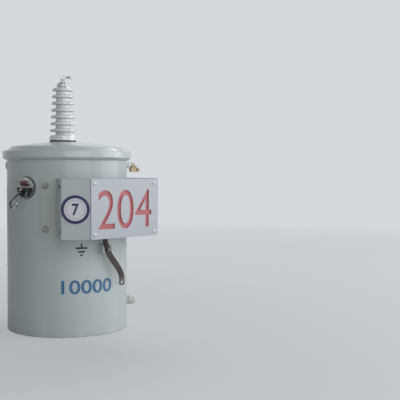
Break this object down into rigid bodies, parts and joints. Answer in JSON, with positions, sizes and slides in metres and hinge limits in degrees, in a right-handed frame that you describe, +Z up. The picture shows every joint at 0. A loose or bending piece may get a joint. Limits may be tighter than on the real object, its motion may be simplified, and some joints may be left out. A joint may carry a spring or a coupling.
{
  "type": "pole mounted transformer",
  "caption": "Round oil-filled distribution transformer with a domed cover, one tall porcelain bushing on top, a sign hood on its wall and hangers for a pole.",
  "frame": {"origin": "centre of the tank's bottom face, on the tank's axis", "axes": "+Z up along the tank, -Y out of the sign face, +Y towards the pole, +X towards the low voltage bushings"},
  "size_m": [0.4925, 0.5595, 0.8565],
  "materials": {
    "tank_paint": "semi-gloss light grey enamel",
    "sign_paint": "satin pale blue-grey enamel",
    "badge_enamel": "gloss enamel",
    "gasket_rubber": "matt",
    "porcelain": "glossy grey glaze",
    "galvanised": "dull zinc",
    "bright_metal": "polished plate",
    "dark_metal": "blackened",
    "lens_red": "clear gloss",
    "old_copper": "dull brown copper",
    "tinned_lug": "dull tin",
    "terminal_brass": "satin",
    "cap_plastic": "matt white"
  },
  "bodies": {
    "root": {"tank": "tank_paint", "bottom_plate": "tank_paint", "cover": "tank_paint", "clamp_band": "tank_paint", "band_bolt": "galvanised", "hv_gasket": "gasket_rubber", "hv_porcelain": "porcelain", "hv_cap": "galvanised", "hv_terminal": "galvanised", "breaker_gasket": "gasket_rubber", "breaker_flange": "bright_metal", "breaker_housing": "dark_metal", "breaker_latch": "bright_metal", "breaker_hub": "dark_metal", "signal_lens": "lens_red", "left_bracket": "tank_paint", "right_bracket": "tank_paint", "bracket_nuts": "tank_paint", "sign_hood": "tank_paint", "hood_bolts": "dark_metal", "sign_plate": "sign_paint", "sign_screws": "galvanised", "badge_disc": "badge_enamel", "earth_pad": "tank_paint", "earth_bolt": "galvanised", "strap_anchor": "galvanised", "earth_strap": "old_copper", "strap_lug": "tinned_lug", "lv_bushing_1": "porcelain", "lv_bushing_2": "porcelain", "lv_bushing_3": "porcelain", "lv_terminal_1": "terminal_brass", "lv_terminal_2": "terminal_brass", "lv_terminal_3": "terminal_brass", "upper_hanger": "tank_paint", "lower_hanger": "tank_paint", "left_lifting_lug": "tank_paint", "right_lifting_lug": "tank_paint", "drain_boss": "tank_paint", "drain_cap": "cap_plastic", "relief_valve": "terminal_brass"},
    "lever": {"breaker_lever": "bright_metal"}
  },
  "joints": [
    {"name": "breaker_lever_turn", "type": "hinge", "parent": "root", "child": "lever", "pos_m": [-0.21003, -0.05042, 0.4675], "axis": [-0.9724, -0.2334, 0], "range_deg": [0, 90]}
  ]
}
